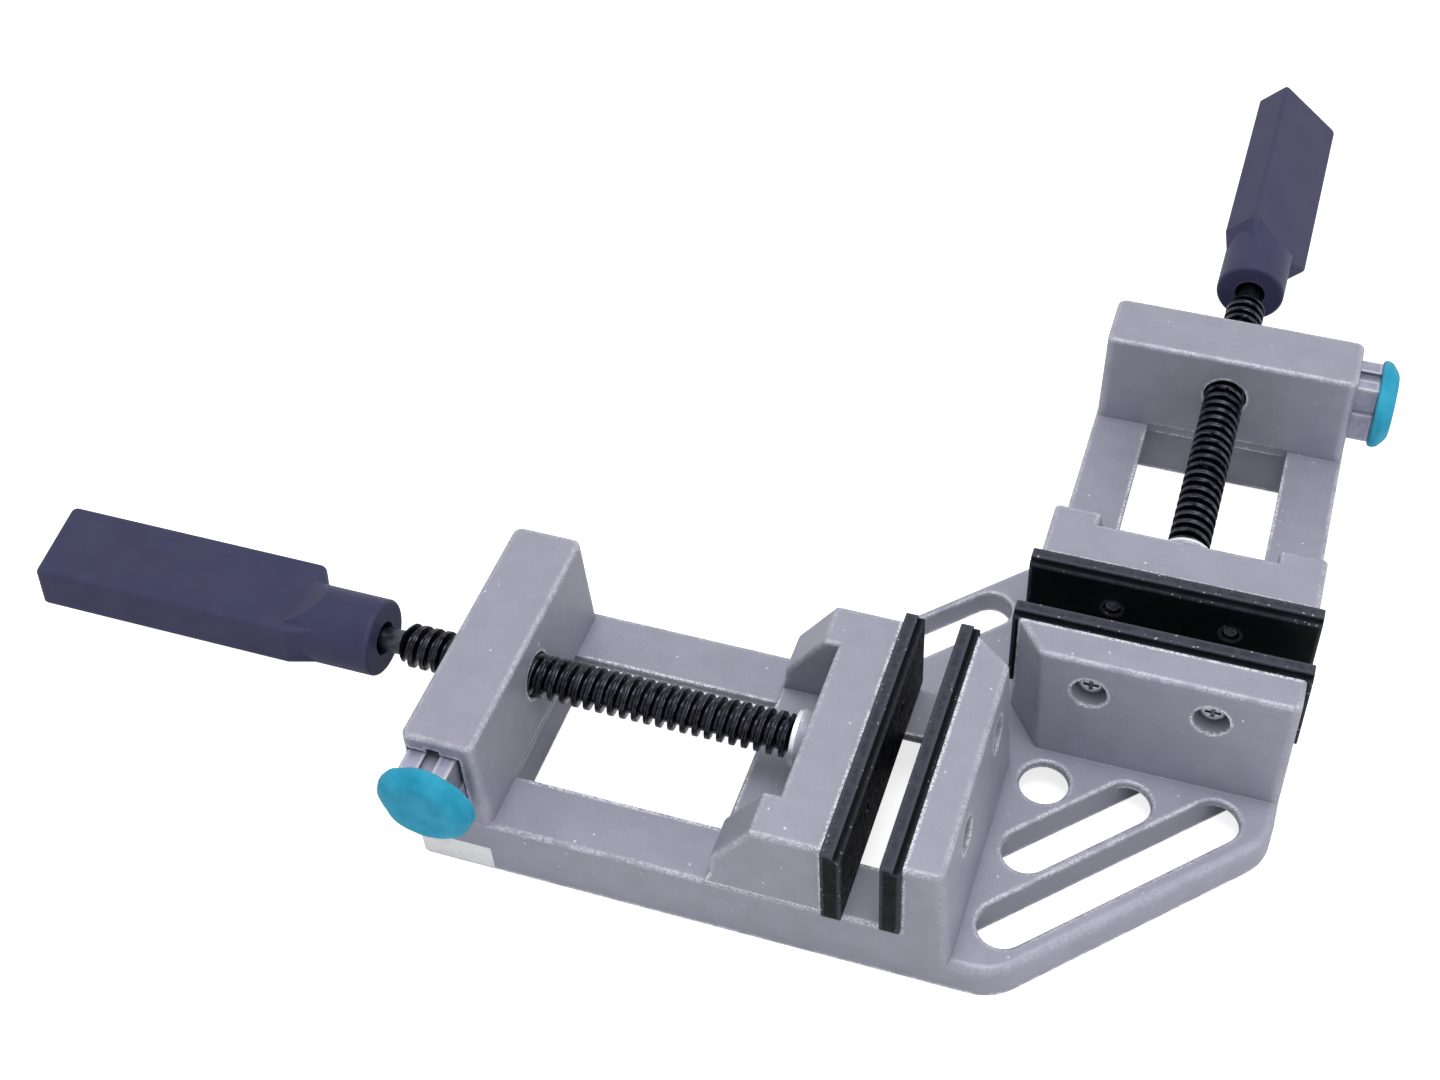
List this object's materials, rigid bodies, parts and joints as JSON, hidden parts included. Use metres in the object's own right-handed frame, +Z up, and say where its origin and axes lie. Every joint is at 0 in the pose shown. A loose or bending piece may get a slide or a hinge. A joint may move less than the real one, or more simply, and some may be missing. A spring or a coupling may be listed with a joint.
{
  "type": "corner clamp",
  "caption": "Right-angle corner clamp with two screw jaws on a cast frame; a push button at each end block frees the half nut, and slots in the corner plate bolt it to a bench.",
  "frame": {"origin": "the inside corner where the two fixed clamping faces meet, at the height of the bench", "axes": "+Z up; arm A runs along -X from the corner and arm B along +Y; the corner plate lies towards +X and -Y"},
  "size_m": [0.424, 0.43, 0.0611],
  "materials": {
    "casting": "silver lacquered die casting, edges worn bright",
    "pad": "black moulded, worn grey on top",
    "screw": "zinc plated",
    "plated_steel": "zinc plated",
    "spindle": "blackened and oiled",
    "spring_steel": "plain spring steel",
    "handle": "dark slate blue, fine matte texture",
    "slider": "plain die casting",
    "cap": "teal, soft sheen"
  },
  "bodies": {
    "base": {"base_casting": "casting", "fixed_pad_a": "pad", "fixed_pad_screws_a": "screw", "release_spring_a": "spring_steel", "fixed_pad_b": "pad", "fixed_pad_screws_b": "screw", "release_spring_b": "spring_steel"},
    "jaw_a": {"movable_jaw_a": "casting", "movable_pad_a": "pad", "movable_pad_screws_a": "screw", "keeper_plate_a": "plated_steel", "keeper_screws_a": "screw"},
    "spindle_a": {"spindle_a": "spindle", "washer_a": "plated_steel", "retaining_ring_a": "spring_steel", "handle_a": "handle"},
    "release_a": {"release_slider_a": "slider", "button_cap_a": "cap"},
    "jaw_b": {"movable_jaw_b": "casting", "movable_pad_b": "pad", "movable_pad_screws_b": "screw", "keeper_plate_b": "plated_steel", "keeper_screws_b": "screw"},
    "spindle_b": {"spindle_b": "spindle", "washer_b": "plated_steel", "retaining_ring_b": "spring_steel", "handle_b": "handle"},
    "release_b": {"release_slider_b": "slider", "button_cap_b": "cap"}
  },
  "joints": [
    {"name": "jaw_a_slide", "type": "slide", "parent": "base", "child": "jaw_a", "axis": [1, 0, 0], "range_m": [-0.0684, 0.0116]},
    {"name": "spindle_a_turn", "type": "hinge", "parent": "jaw_a", "child": "spindle_a", "pos_m": [-0.1, -0.062, 0.0446], "axis": [1, 0, 0], "range_deg": [-6156, 1044]},
    {"name": "release_a_press", "type": "slide", "parent": "base", "child": "release_a", "axis": [0, 1, 0], "range_m": [0, 0.004], "stiffness_N_per_m": 900, "springref_m": -0.004, "deforming": ["release_spring_a"]},
    {"name": "jaw_b_slide", "type": "slide", "parent": "base", "child": "jaw_b", "axis": [0, -1, 0], "range_m": [-0.0624, 0.0176]},
    {"name": "spindle_b_turn", "type": "hinge", "parent": "jaw_b", "child": "spindle_b", "pos_m": [0.062, 0.1, 0.0446], "axis": [0, -1, 0], "range_deg": [-5616, 1584]},
    {"name": "release_b_press", "type": "slide", "parent": "base", "child": "release_b", "axis": [-1, 0, 0], "range_m": [0, 0.004], "stiffness_N_per_m": 900, "springref_m": -0.004, "deforming": ["release_spring_b"]}
  ],
  "couplings": [
    {"joint": "spindle_a_turn", "follows": "jaw_a_slide", "rad_per_m": 1570.8},
    {"joint": "spindle_b_turn", "follows": "jaw_b_slide", "rad_per_m": 1570.8}
  ]
}
